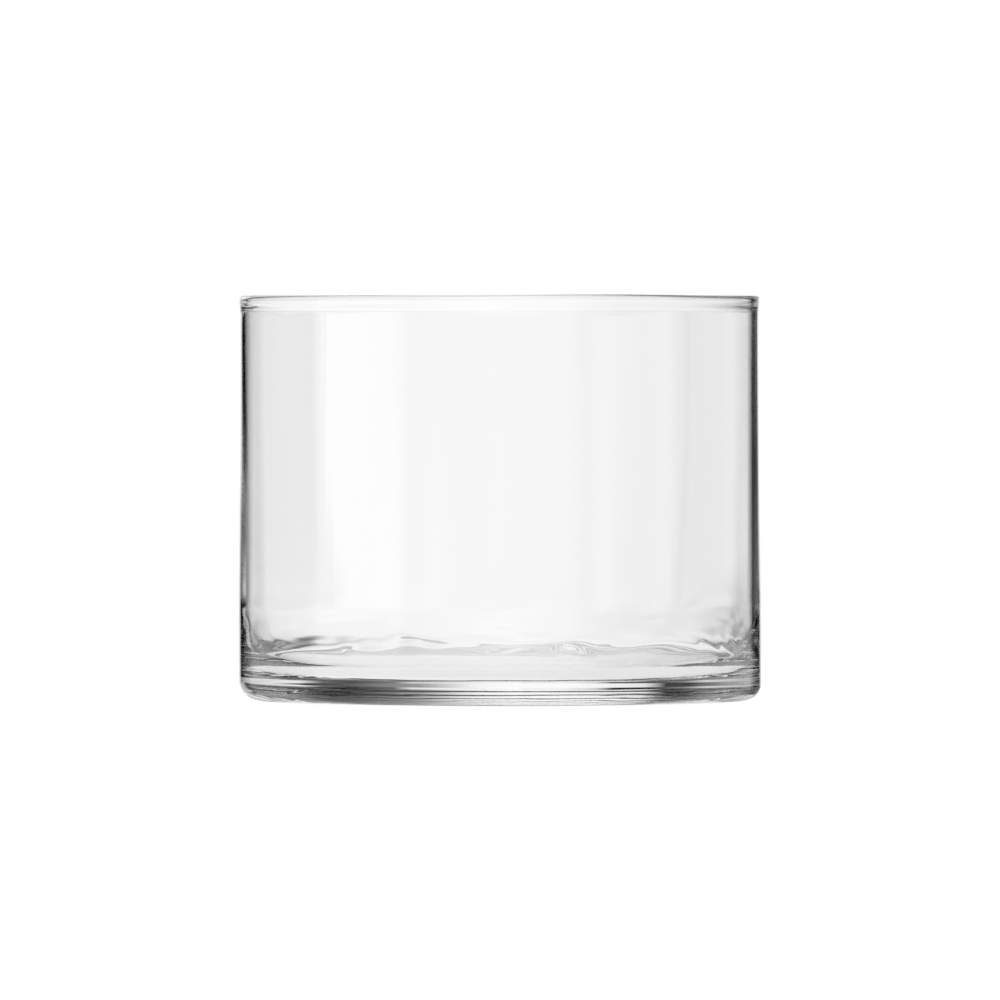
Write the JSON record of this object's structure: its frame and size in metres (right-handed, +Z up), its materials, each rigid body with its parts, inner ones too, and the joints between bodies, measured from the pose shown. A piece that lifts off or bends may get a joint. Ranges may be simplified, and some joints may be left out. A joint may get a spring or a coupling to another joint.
{
  "type": "glass cylinder vase",
  "caption": "Low, wide cylinder vase of clear glass with a fire-polished rim, a thin wall that swells towards a thick flat base, and a wide open mouth.",
  "frame": {"origin": "centre of the circle that the vase stands on, on the table plane", "axes": "+Z up along the axis of the cylinder, from the base to the mouth; X and Y are any two directions across it"},
  "size_m": [0.1806, 0.1806, 0.14],
  "materials": {
    "clear_glass": "clear colourless soda-lime glass, fire-polished and smooth, with slight waves in the base and a faint satin ring where it stands"
  },
  "bodies": {
    "root": {"rim_bead": "clear_glass", "side_wall": "clear_glass", "heel_ring": "clear_glass", "base_disc": "clear_glass"}
  },
  "joints": []
}
